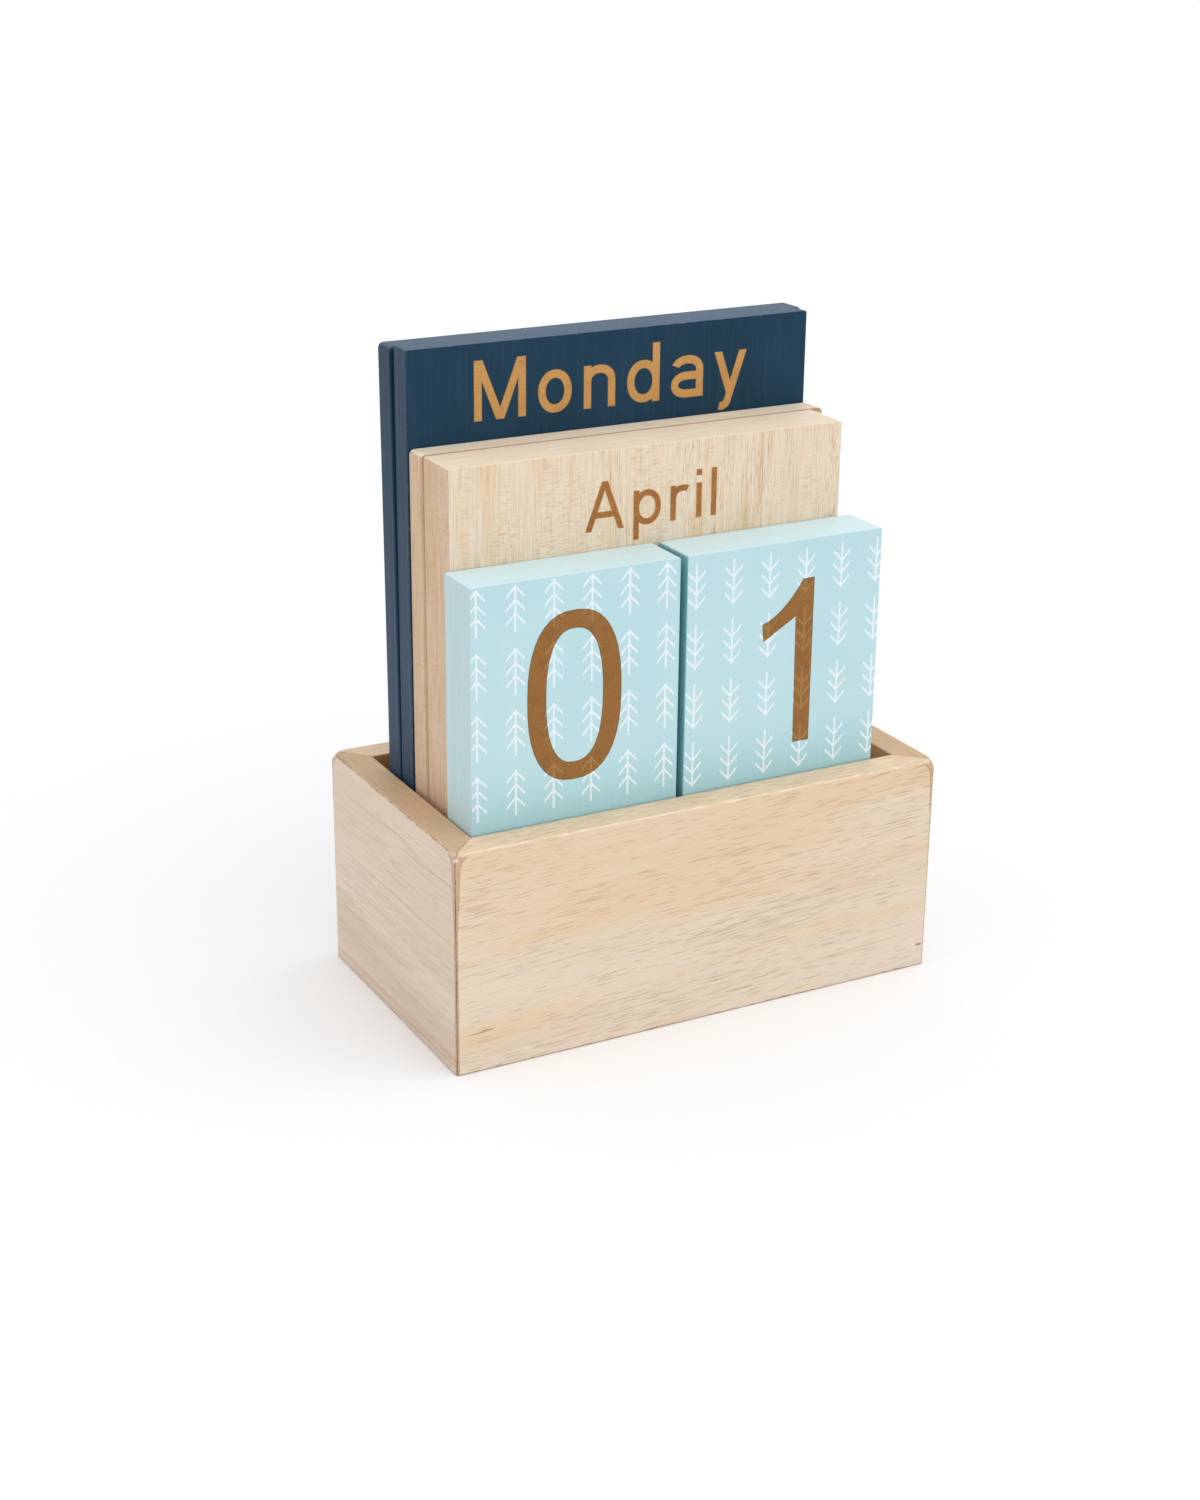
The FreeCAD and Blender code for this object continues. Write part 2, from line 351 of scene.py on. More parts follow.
def tray_wood(name, along, tilt, seed, tones, distances_to, thickness, shares):
    """Limed wood with open pores, brown where the edges are worn and on the inside of the tray, with a
    painted highlight along the outer edge of the front and back rims.

    thickness is the walls', in millimetres. shares says how much shows of the pores, of the long lines and of
    the band along the rim's edge (brown wear on the short sides, a painted highlight on the front and back),
    and how far the edge band reaches at least, in millimetres."""
    graph = Graph(name)
    grain = grain_place(graph, along, tilt, seed)
    cream, warm, grey, rim, rim_edge_wear_and_highlight, line = tones
    pore_share, line_share, rim_wear_and_highlight_share, least_wear = shares
    brown = shade(152, 114, 82)

    colour = limed_colour(graph, grain, cream, warm, grey)
    fibres = graph.noise(grain, (0.035, 1.6, 1.6), detail=4.0, rough=0.65, warp=0.2)
    colour = graph.mix(graph.fade(fibres, 0.5, 0.74, 0.0, 0.24), colour, line)
    colour = graph.mix(graph.fade(fibres, 0.46, 0.28, 0.0, 0.35), colour, cream)
    lines = growth_lines(graph, grain, (0.0015, 0.17, 0.17), 0.014)
    line_field = graph.fade(graph.noise(grain, (0.012, 0.06, 0.06)), 0.38, 0.6)
    line_cover = graph.math("MULTIPLY", lines, line_field)
    colour = graph.mix(graph.math("MULTIPLY", line_cover, line_share), colour, line)
    small = pores(graph, grain, (0.09, 2.8, 2.8), 0.14, 0.3)
    colour = graph.mix(graph.math("MULTIPLY", small, pore_share), colour, line)
    few = pores(graph, graph.vector("ADD", grain, (11.0, 5.0, 3.0)), (0.07, 1.8, 1.8), 0.0, 0.18)
    colour = graph.mix(graph.math("MULTIPLY", few, pore_share), colour, brown)

    scratches = graph.noise(grain, (0.12, 2.6, 2.6), detail=4.0, rough=0.7)
    rim_colour = graph.mix(graph.fade(scratches, 0.45, 0.62, 0.0, 0.5), rim, line)
    colour = graph.mix(graph.facing("Z"), colour, rim_colour)

    distances = graph.inside(*distances_to)
    depth_in_wall = graph.math("MINIMUM", distances[0], distances[1])
    inside = graph.fade(depth_in_wall, thickness - 0.3, thickness - 0.05, 0.0, 0.85)
    colour = graph.mix(inside, colour, shade(216, 152, 96))
    # Edge band: brown wear low down; at the rim a painted highlight on the front and back walls, brown wear
    # on the short sides.
    colour = edge_wear(graph, colour, distances, (brown, rim_edge_wear_and_highlight), rim_wear_and_highlight_share, least_wear)
    corner_tones = (shade(214, 172, 134), shade(150, 108, 76), shade(104, 70, 48))
    colour = corner_wear(graph, colour, distances, corner_tones)

    for centre, reach, mark_colour in WOOD_MARKS:
        colour = graph.mix(graph.near(centre, reach), colour, mark_colour)

    fine = graph.noise(grain, (0.3, 4.0, 4.0), detail=3.0)
    height = graph.math("MULTIPLY_ADD", small, -0.8, graph.math("MULTIPLY_ADD", fibres, 0.6, fine))
    roughness = graph.fade(fibres, 0.3, 0.7, 0.5, 0.72)
    return graph.finish(colour, roughness, height, 0.07, 0.5)


def streaked_colour(graph, grain, streaks, tones, strength):
    """Sanded wood with a soft figure, fine streaks, and rays across the grain in patches."""
    cream, gold, olive = tones
    figure = graph.noise(grain, (0.014, 0.12, 0.12), detail=4.0, rough=0.6, warp=1.2)
    colour = graph.mix(graph.fade(figure, 0.52, 0.64, 0.0, 0.5), cream, gold)
    broad = graph.noise(grain, (0.05, 0.8, 0.8), detail=3.0, rough=0.6, warp=0.1)
    colour = graph.mix(graph.fade(broad, 0.5, 0.68, 0.0, 0.8 * strength), colour, gold)
    colour = graph.mix(graph.fade(streaks, 0.5, 0.66, 0.0, 1.4 * strength), colour, olive)
    colour = graph.mix(graph.fade(streaks, 0.46, 0.32, 0.0, 0.4), colour, cream)
    patches = graph.noise(grain, (0.02, 0.1, 0.1), detail=2.0)
    rays = graph.noise(grain, (2.4, 0.4, 0.4), detail=2.0, rough=0.6)
    ray_share = graph.math("MULTIPLY", graph.fade(patches, 0.52, 0.42), graph.fade(rays, 0.5, 0.64))
    colour = graph.mix(graph.math("MULTIPLY", ray_share, 1.1 * strength), colour, olive)
    dark = graph.noise(grain, (0.05, 2.6, 2.6), detail=3.0)
    dark_share = graph.math("MULTIPLY", graph.fade(patches, 0.46, 0.6), graph.fade(dark, 0.55, 0.66))
    return graph.mix(graph.math("MULTIPLY", dark_share, 1.3 * strength), colour, shade(190, 150, 108))


def bare_wood(name, along, seed, tones, strength, seam=None):
    """Pale sanded wood with fine streaks along the grain; strength says how much the streaks show.

    seam is the place across the boards and the top, in millimetres, of a joint with darkened edges."""
    graph = Graph(name)
    grain = grain_place(graph, along, 0.0, seed)
    cream, gold, olive, side_tint, top_tint_with_painted_light = tones
    streaks = graph.noise(grain, (0.08, 3.0, 3.0), detail=3.0, rough=0.6)
    colour = streaked_colour(graph, grain, streaks, (cream, gold, olive), strength)
    colour = graph.mix(graph.facing("X"), colour, side_tint, mode="MULTIPLY")
    side_lines = graph.noise(grain, (0.01, 1.0, 1.0), detail=3.0, rough=0.6)
    line_share = graph.fade(side_lines, 0.5, 0.62, 0.0, 0.65 * strength)
    side_share = graph.math("MULTIPLY", graph.facing("X"), line_share)
    colour = graph.mix(side_share, colour, shade(198, 162, 130))
    # Painted light: on the month boards the end-grain tops take a lighter tone that also makes up for the
    # light they lose under the taller boards.
    colour = graph.mix(graph.facing("Z"), colour, top_tint_with_painted_light)
    across = graph.noise(graph.place, (0.05, 2.2, 2.2), detail=3.0, rough=0.6)
    lines_share = graph.math("MULTIPLY", graph.facing("Z"), graph.fade(across, 0.48, 0.7, 0.0, 0.3))
    colour = graph.mix(lines_share, colour, olive)
    if seam is not None:
        middle, top = seam
        darkened = graph.joint(colour, "Y", middle, 0.45, shade(180, 140, 98))
        below_edge = graph.fade(graph.z, top - 0.5, top - 1.5)
        colour = graph.mix(graph.math("MULTIPLY", graph.facing("Y"), below_edge), darkened, colour)

    small = pores(graph, grain, (0.25, 2.8, 2.8), 0.0, 0.28)
    colour = graph.mix(graph.math("MULTIPLY", small, 0.35), colour, shade(160, 124, 86))
    fine = graph.noise(grain, (0.4, 5.0, 5.0), detail=2.0)
    height = graph.math("MULTIPLY_ADD", small, -0.6, graph.math("MULTIPLY_ADD", streaks, 0.6, fine))
    roughness = graph.fade(streaks, 0.3, 0.7, 0.48, 0.68)
    return graph.finish(colour, roughness, height, 0.06, 0.5)


def paint(name, seed, tones, distances_to, reach, gloss, gap_with_painted_shade=None):
    """Matt paint over wood: a little cloudy, darker towards the tray as painted shade, scuffed at the
    corners. Its sides and top get lighter and greyer copies of the paint for how those faces are lit (painted
    light and shade), on the tiles partly a paler paint.

    gap is the middle and half the width, in millimetres, of a gap beside the tile whose facing sides get
    painted shade."""
    graph = Graph(name)
    grain = grain_place(graph, "Z", 0.0, seed)
    face, cloudy, low, side, lower_side_painted_light, top, scuff = tones

    cloud = graph.noise(grain, (0.012, 0.02, 0.02), detail=3.0, rough=0.6)
    colour = graph.mix(graph.fade(cloud, 0.38, 0.64), face, cloudy)
    # Painted shade: the paint goes darker towards the tray's rim, where the tray shades it.
    colour = graph.mix(graph.fade(graph.z, 84.0, 63.0, 0.0, 0.72), colour, low)
    # Painted light and shade: the sides and top take their own copies of the paint for the sheen and light on
    # those faces, the sides darker higher up; on the tiles partly a paler paint.
    side_painted_light = graph.mix(graph.fade(graph.z, 150.0, 90.0), side, lower_side_painted_light)
    colour = graph.mix(graph.facing("X"), colour, side_painted_light)
    colour = graph.mix(graph.facing("Z"), colour, top)
    grain_lines = graph.noise(grain, (0.03, 1.1, 1.1), detail=4.0, rough=0.6)
    side_lines = graph.fade(graph.facing("Y"), 0.0, 1.0, 0.22, 0.05)
    colour = graph.mix(graph.math("MULTIPLY", graph.fade(grain_lines, 0.48, 0.7), side_lines), colour, scuff)

    ragged = graph.noise(graph.place, (0.5, 0.5, 0.5), detail=4.0, rough=0.7)
    worn_reach = graph.fade(ragged, 0.5, 0.75, 0.0, reach)
    distances = graph.inside(*distances_to)
    past_wear = graph.math("SUBTRACT", graph.edge_distance(distances), worn_reach)
    worn = graph.fade(past_wear, -0.2, 0.1, 1.0, 0.0)
    colour = graph.mix(graph.math("MULTIPLY", worn, 0.45), colour, scuff)

    # Painted shade on the tile sides that face the gap between the tens and ones tiles.
    if gap_with_painted_shade is not None:
        middle, half_width = gap_with_painted_shade
        colour = graph.joint(colour, "X", middle, half_width, shade(136, 196, 202))

    speckle = graph.noise(graph.place, (2.5, 2.5, 2.5), detail=2.0)
    colour = graph.mix(graph.fade(speckle, 0.6, 0.75, 0.0, 0.06), colour, scuff)
    height = graph.math("ADD", speckle, grain_lines)
    roughness = graph.fade(speckle, 0.3, 0.7, 0.42, 0.56)
    return graph.finish(colour, roughness, height, 0.03, gloss)


def ink(name, colour, dark, light, speckles_per_mm, depth):
    """Ink, foil or burnt wood in a thin layer, with fine specks and uneven cover; colours from 0 to 255."""
    graph = Graph(name)
    colour, dark, light = (shade(*tone) for tone in (colour, dark, light))
    specks = graph.noise(graph.place, (speckles_per_mm,) * 3, detail=3.0, rough=0.7)
    cloud = graph.noise(graph.place, (0.2, 0.2, 0.2), detail=2.0)
    mixed = graph.mix(graph.fade(specks, 0.5, 0.72), colour, light)
    mixed = graph.mix(graph.fade(specks, 0.46, 0.28, 0.0, 0.7), mixed, dark)
    mixed = graph.mix(graph.fade(cloud, 0.45, 0.75, 0.0, 0.4), mixed, dark)
    return graph.finish(mixed, graph.fade(specks, 0.3, 0.7, 0.4, 0.6), specks, depth, 0.3)


def floor_material():
    """A plain white floor, a little less bright and cooler where it is seen than in what it throws back."""
    graph = Graph("floor_white")
    path = graph.nodes.new("ShaderNodeLightPath")
    bounce = graph.join(FLOOR_BOUNCE, FLOOR_BOUNCE, FLOOR_BOUNCE)
    grain = graph.noise(graph.place, (0.01, 0.01, 0.01))
    shown = graph.mix(graph.fade(grain, 0.0, 1.0, 0.0, 0.01), FLOOR_SHOWN, shade(235, 235, 235))
    diffuse = graph.nodes.new("ShaderNodeBsdfDiffuse")
    graph.put(diffuse.inputs["Color"], graph.mix(path.outputs["Is Camera Ray"], bounce, shown))
    output = graph.nodes.new("ShaderNodeOutputMaterial")
    graph.links.new(diffuse.outputs[0], output.inputs["Surface"])
    return graph.material


def superellipse(centre, radii, angle, squareness):
    """A point of a round form that is a little squarer than an ellipse."""
    def squared(value):
        return math.copysign(abs(value) ** (2 / squareness), value)
    return (centre[0] + radii[0] * squared(math.cos(angle)), centre[1] + radii[1] * squared(math.sin(angle)))


class Pen:
    """Draws strokes of one width as closed outlines, in shares of a capital's height.

    Every outline is grown by the rim. Each kind of pen says how square its curves are."""

    def __init__(self, stroke, rim):
        self.stroke = stroke
        self.rim = rim
        self.half = stroke / 2
        self.shapes = []

    def block(self, left, right, bottom, top):
        rim = self.rim
        self.shapes.append([(left - rim, bottom - rim), (right + rim, bottom - rim),
                            (right + rim, top + rim), (left - rim, top + rim)])

    def stem(self, x, bottom, top):
        """An upright stroke about x."""
        self.block(x - self.half, x + self.half, bottom, top)

    def bar(self, y, left, right):
        """A level stroke about y."""
        self.block(left, right, y - self.half, y + self.half)

    def slant(self, bottom, top):
        """A sloping stroke between two points, cut level at both ends."""
        run = (top[0] - bottom[0]) / (top[1] - bottom[1])
        reach = (self.half + self.rim) * math.hypot(1, run)
        low = (bottom[0] - run * self.rim, bottom[1] - self.rim)
        high = (top[0] + run * self.rim, top[1] + self.rim)
        self.shapes.append([(low[0] - reach, low[1]), (low[0] + reach, low[1]),
                            (high[0] + reach, high[1]), (high[0] - reach, high[1])])

    def bow(self, centre, radii, start, stop, thin=1.0):
        """A curved stroke from one angle to another, in degrees; thin narrows its top and bottom."""
        reach_x = self.half + self.rim
        reach_y = self.half * thin + self.rim
        outer = (radii[0] + reach_x, radii[1] + reach_y)
        inner = (radii[0] - reach_x, radii[1] - reach_y)
        turn = stop - start
        steps = max(4, round(ARC_STEPS * turn / 360))
        angles = [math.radians(start + turn * i / steps) for i in range(steps + 1)]
        self.shapes.append([superellipse(centre, outer, a, self.squareness) for a in angles]
                           + [superellipse(centre, inner, a, self.squareness) for a in reversed(angles)])

    def ring(self, centre, radii, thin=1.0):
        """A closed round stroke, drawn in two halves."""
        self.bow(centre, radii, -3, 180, thin)
        self.bow(centre, radii, 177, 360, thin)


class Letters(Pen):
    """A plain alphabet of even strokes. Each letter draws itself and gives back its width."""

    width = 0.62
    x_height = X_HEIGHT_SHARE
    squareness = LETTER_SQUARENESS

    def bowl(self):
        """The round of a small letter."""
        radii = ((self.width - self.stroke) / 2, (self.x_height - self.stroke) / 2)
        self.ring((self.width / 2, self.x_height / 2), radii)
        return self.width

    def arch(self, left, width):
        """The arch of n, h and m with its right stem."""
        radius_y = 0.26
        centre = (left + width / 2, self.x_height - radius_y)
        self.bow(centre, ((width - self.stroke) / 2, radius_y - self.half), 0, 180)
        self.stem(left + width - self.half, 0, centre[1])

    def curve_s(self, width, height):
        """The two bows of S, at any height."""
        radii = ((width - self.stroke) / 2, (height - self.stroke) / 4)
        self.bow((width / 2, height - self.half - radii[1]), radii, 22, 270)
        self.bow((width / 2, self.half + radii[1]), radii, -158, 90)
        return width

    def a(self):
        radius_y = 0.24
        bowl_top = 0.44 - self.half
        right = self.width - self.half
        self.stem(right, 0, self.x_height - radius_y)
        arch_radii = (right - self.width / 2, radius_y - self.half)
        self.bow((self.width / 2, self.x_height - radius_y), arch_radii, 0, 158)
        radii = ((bowl_top - self.half) / 2 * 1.5, (bowl_top - self.half) / 2)
        centre = (self.half + radii[0], self.half + radii[1])
        self.bow(centre, radii, 90, 270)
        self.bar(bowl_top, centre[0], right)
        self.bar(self.half, centre[0], right)
        return self.width

    def b(self):
        self.stem(self.half, 0, 1)
        return self.bowl()

    def c(self):
        radii = ((self.width - self.stroke) / 2, (self.x_height - self.stroke) / 2)
        self.bow((self.width / 2, self.x_height / 2), radii, 38, 322)
        return self.width * 0.94

    def d(self):
        self.stem(self.width - self.half, 0, 1)
        return self.bowl()

    def e(self):
        radii = ((self.width - self.stroke) / 2, (self.x_height - self.stroke) / 2)
        self.bow((self.width / 2, self.x_height / 2), radii, 0, 322)
        self.bar(self.x_height / 2 - self.half / 2, self.half, self.width - self.half)
        return self.width

    def g(self):
        radius_y = 0.22
        right = self.width - self.half
        tail_radii = (right - self.width / 2, radius_y - self.half)
        self.bow((self.width / 2, radius_y - TAIL_SHARE), tail_radii, 200, 360)
        self.stem(right, radius_y - TAIL_SHARE, self.x_height)
        return self.bowl()

    def h(self):
        self.stem(self.half, 0, 1)
        self.arch(0, self.width - 0.03)
        return self.width - 0.03

    def i(self):
        self.stem(self.half, 0, self.x_height)
        self.bar(1 - self.half, 0, self.stroke)
        return self.stroke

    def l(self):
        self.stem(self.half, 0, 1)
        return self.stroke

    def m(self):
        arch_width = self.width - 0.08
        self.stem(self.half, 0, self.x_height)
        self.arch(0, arch_width)
        self.arch(arch_width - self.stroke, arch_width)
        return 2 * arch_width - self.stroke

    def n(self):
        self.stem(self.half, 0, self.x_height)
        self.arch(0, self.width - 0.03)
        return self.width - 0.03

    def o(self):
        return self.bowl()

    def p(self):
        self.stem(self.half, -TAIL_SHARE, self.x_height)
        return self.bowl()

    def r(self):
        radius_y = 0.26
        self.stem(self.half, 0, self.x_height)
        radii = ((self.width - self.stroke) / 2 * 0.9, radius_y - self.half)
        self.bow((self.half + radii[0], self.x_height - radius_y), radii, 62, 180)
        return self.width * 0.6

    def s(self):
        return self.curve_s(self.width * 0.9, self.x_height)

    def t(self):
        stem = 0.16
        radius = 0.15
        self.stem(stem, radius, 0.93)
        self.bar(self.x_height - self.half, 0, 0.37)
        self.bow((stem + radius - self.half, radius), (radius - self.half, radius - self.half), 180, 285)
        return 0.37

    def u(self):
        radius_y = 0.26
        right = self.width - self.half
        self.stem(self.half, radius_y, self.x_height)
        self.stem(right, 0, self.x_height)
        self.bow((self.width / 2, radius_y), (right - self.width / 2, radius_y - self.half), 180, 360)
        return self.width

    def v(self):
        foot = self.width / 2
        self.slant((foot, 0), (self.half, self.x_height))
        self.slant((foot, 0), (self.width - self.half, self.x_height))
        return self.width

    def y(self):
        foot = self.width / 2
        right = self.width - self.half
        run = (right - foot) / self.x_height
        lean = math.atan(run)
        radius = 0.14
        middle_y = self.half + radius - TAIL_SHARE
        join_y = middle_y - radius * math.sin(lean)
        middle_x = foot + run * join_y - radius * math.cos(lean)
        overlap = self.half * run
        self.slant((foot, 0), (self.half, self.x_height))
        self.slant((foot + run * (join_y - overlap), join_y - overlap), (right, self.x_height))
        self.bow((middle_x, middle_y), (radius, radius), 256, 360 - math.degrees(lean))
        return self.width

    def A(self):
        width = 0.86
        self.slant((self.half, 0), (width / 2, 1))
        self.slant((width - self.half, 0), (width / 2, 1))
        self.bar(0.32, width * 0.2, width * 0.8)
        return width

    def D(self):
        width = 0.78
        centre_x = width * 0.42
        self.stem(self.half, 0, 1)
        self.bar(self.half, self.half, centre_x)
        self.bar(1 - self.half, self.half, centre_x)
        self.bow((centre_x, 0.5), (width - self.half - centre_x, 0.5 - self.half), -90, 90)
        return width

    def F(self):
        width = 0.6
        self.stem(self.half, 0, 1)
        self.bar(1 - self.half, self.half, width)
        self.bar(0.52, self.half, width * 0.86)
        return width

    def J(self):
        width = 0.58
        radius_y = 0.3
        right = width - self.half
        self.stem(right, radius_y, 1)
        self.bow((width / 2, radius_y), (right - width / 2, radius_y - self.half), 180, 360)
        return width

    def M(self):
        width = 0.94
        self.stem(self.half, 0, 1)
        self.stem(width - self.half, 0, 1)
        self.slant((width / 2, 0), (self.half * 1.2, 1))
        self.slant((width / 2, 0), (width - self.half * 1.2, 1))
        return width

    def N(self):
        width = 0.8
        self.stem(self.half, 0, 1)
        self.stem(width - self.half, 0, 1)
        self.slant((width - self.half * 1.2, 0), (self.half * 1.2, 1))
        return width

    def O(self):
        width = 0.84
        self.ring((width / 2, 0.5), (width / 2 - self.half, 0.5 - self.half))
        return width

    def S(self):
        return self.curve_s(0.74, 1)

    def T(self):
        width = 0.7
        self.stem(width / 2, 0, 1)
        self.bar(1 - self.half, 0, width)
        return width

    def W(self):
        width = 1.12
        for side in (0, 1):
            middle = width / 2 - self.half / 2
            left = side * (width - middle - self.stroke * 0.5) + self.half * (1 - side)
            foot = left + (middle - self.half) / 2
            self.slant((foot, 0), (left, 1))
            self.slant((foot, 0), (left + middle - self.half, 1))
        return width


class Numbers(Pen):
    """Plain tall numbers. Each draws itself and gives back its width."""

    width = 0.587
    squareness = NUMBER_SQUARENESS

    def digit_0(self):
        self.ring((self.width / 2, 0.5), (self.width / 2 - self.half, 0.5 - self.half * 0.9), 0.9)

    def digit_1(self):
        """A stem that widens downwards, with a flag that curves up to its head."""
        foot, head, flag = 0.104, 0.068, 0.34
        flag_low, flag_high, joint = 0.656, 0.757, 0.782
        right = 0.5
        sag = 0.043
        rim = self.rim
        left_end = right - flag
        left_head = right - head
        curve = []
        for step in range(9):
            share = step / 8
            x = left_head + (left_end - left_head) * share
            y = 1 + (flag_high - 1) * share - 4 * sag * share * (1 - share)
            curve.append((x - rim, y + rim))
        stem = [(right - foot - rim, -rim), (right + rim, -rim), (right + rim, 1 + rim)]
        flag_foot = [(left_end + 0.01 - rim, flag_low - rim), (right - foot - 0.01 - rim, joint - rim)]
        self.shapes.append(stem + curve + flag_foot)

    def digit_2(self):
        """A bow that runs straight on from its lower end to the corner of a level foot."""
        radius_y, low_end, foot_right = 0.27, -39, 0.109
        centre = (self.width / 2, 1 - radius_y)
        radii = (self.width / 2 - self.half, radius_y - self.half)
        self.bow(centre, radii, low_end, 165)
        self.bar(self.half, 0, self.width)
        neck = [(-self.rim, self.half), (foot_right + self.rim, self.half)]
        for side in (1, -1):
            reach = side * (self.half + self.rim)
            edge_radii = (radii[0] + reach, radii[1] + reach)
            neck.append(superellipse(centre, edge_radii, math.radians(low_end), self.squareness))
        self.shapes.append(neck + [(-self.rim, self.stroke + self.rim)])

    def digit_3(self):
        top, low = 0.24, 0.285
        self.bow((self.width / 2, 1 - top), (self.width / 2 - self.half * 1.4, top - self.half), -90, 150)
        self.bow((self.width / 2, low), (self.width / 2 - self.half, low - self.half), -150, 90)
        self.bar(2 * low - self.half, self.width * 0.4, self.width / 2)

    def digit_4(self):
        stem = self.width * 0.74
        self.stem(stem, 0, 1)
        self.slant((self.half * 1.4, 0.26), (stem - self.half * 0.2, 1))
        self.bar(0.26, self.half * 0.6, self.width)

    def digit_5(self):
        low = 0.32
        self.bow((self.width / 2, low), (self.width / 2 - self.half, low - self.half), -150, 130)
        self.stem(self.half * 2.2, 0.47, 1)
        self.bar(1 - self.half, self.half * 2.2, self.width * 0.93)

    def digit_6(self):
        low = 0.31
        self.ring((self.width / 2, low), (self.width / 2 - self.half, low - self.half))
        self.bow((self.width / 2, 0.5), (self.width / 2 - self.half, 0.5 - self.half), 48, 200)

    def digit_7(self):
        self.bar(1 - self.half, 0, self.width)
        self.slant((self.width * 0.3, 0), (self.width - self.half * 1.2, 1 - self.half))

    def digit_8(self):
        top, low = 0.245, 0.28
        self.ring((self.width / 2, 1 - top), (self.width / 2 - self.half * 1.5, top - self.half))
        self.ring((self.width / 2, low), (self.width / 2 - self.half, low - self.half))

    def digit_9(self):
        low = 0.31
        self.ring((self.width / 2, 1 - low), (self.width / 2 - self.half, low - self.half))
        self.bow((self.width / 2, 0.5), (self.width / 2 - self.half, 0.5 - self.half), -132, 20)


def moved(shapes, scale, x, y):
    """Outlines scaled and then moved."""
    return [[(px * scale + x, py * scale + y) for px, py in shape] for shape in shapes]


def word_shapes(word, stroke, height, rim, widest):
    """The outlines of a word, centred on x, with its baseline at 0; a long word is drawn smaller to fit."""
    shapes = []
    x = 0.0
    for letter in word:
        pen = Letters(stroke, rim / height)
        width = getattr(pen, letter)()
        shapes += moved(pen.shapes, 1, x, 0)
        x += width + LETTER_GAP_SHARE
    width = x - LETTER_GAP_SHARE
    return moved(moved(shapes, 1, -width / 2, 0), min(height, widest / width), 0, 0)


def number_shapes(number, height, rim):
    """The outlines of one number, centred on x, with its foot at 0, in metres."""
    pen = Numbers(NUMBER_STROKE_SHARE, rim / height)
    getattr(pen, "digit_" + number)()
    return moved(moved(pen.shapes, 1, -pen.width / 2, 0), height, 0, 0)


def arrow_shapes(x, tip, up):
    """One arrow with its tip at a height; up is 1 where it points up and -1 where it points down."""
    half = ARROW_LINE / 2
    tail = tip - up * ARROW_LENGTH
    shapes = [[(x - half, tip), (x + half, tip), (x + half, tail), (x - half, tail)]]
    thick = ARROW_LINE * math.hypot(ARROW_HALF_WIDTH, ARROW_HEAD_DROP) / ARROW_HALF_WIDTH
    for head in range(ARROW_HEADS):
        peak = tip - up * head * ARROW_HEAD_PITCH
        for side in (-1, 1):
            end = (x + side * ARROW_HALF_WIDTH, peak - up * ARROW_HEAD_DROP)
            shapes.append([(x, peak), end, (end[0], end[1] - up * thick), (x, peak - up * thick)])
    return shapes


def clipped(shape, half_width, half_height):
    """The part of a convex outline inside a rectangle about the origin."""
    for axis, limit in ((0, half_width), (0, -half_width), (1, half_height), (1, -half_height)):
        side = math.copysign(1, limit)
        kept = []
        for start, end in zip(shape, shape[1:] + shape[:1]):
            depth_start = abs(limit) - side * start[axis]
            depth_end = abs(limit) - side * end[axis]
            if depth_start >= 0:
                kept.append(start)
            if depth_start * depth_end < 0:
                share = depth_start / (depth_start - depth_end)
                kept.append((start[0] + share * (end[0] - start[0]), start[1] + share * (end[1] - start[1])))
        shape = kept
    return shape


def print_shapes(node, width, height):
    """The arrows on one tile's face, about its middle, cut off just short of its edges."""
    up, first_column, first_row, column_pitch = PRINTS[node.split("_")[0]]
    half_width = width / 2
    half_height = height / 2
    first_tip = half_height - first_row - (ARROW_LENGTH if up < 0 else 0)
    shapes = []
    for column in range(math.ceil(width / column_pitch) + 1):
        x = first_column + column * column_pitch - half_width
        for row in range(math.ceil(height / PRINT_ROW_PITCH) + 1):
            for shape in arrow_shapes(x, first_tip - row * PRINT_ROW_PITCH, up):
                shapes.append(clipped(shape, half_width - PRINT_MARGIN, half_height - PRINT_MARGIN))
    return [shape for shape in shapes if len(shape) > 2]


def area(shape):
    """An outline's area, above zero if it runs anticlockwise."""
    return sum(a[0] * b[1] - b[0] * a[1] for a, b in zip(shape, shape[1:] + shape[:1])) / 2


def covered(shapes, within=None):
    """Corners and triangles that cover all the shapes together, or only what lies within other shapes."""
    corners = []
    faces = []
    for shape in shapes + (within or []):
        ordered = shape if area(shape) > 0 else shape[::-1]
        faces.append(list(range(len(corners), len(corners) + len(shape))))
        corners += [Vector(point) / MM for point in ordered]
    points, _, triangles, _, _, sources = delaunay_2d_cdt(corners, [], faces, 1, 1e-4)
    kept = []
    for triangle, source in zip(triangles, sources):
        in_shapes = any(index < len(shapes) for index in source)
        in_limit = within is None or any(index >= len(shapes) for index in source)
        if in_shapes and in_limit:
            kept.append(triangle)
    return [point * MM for point in points], kept


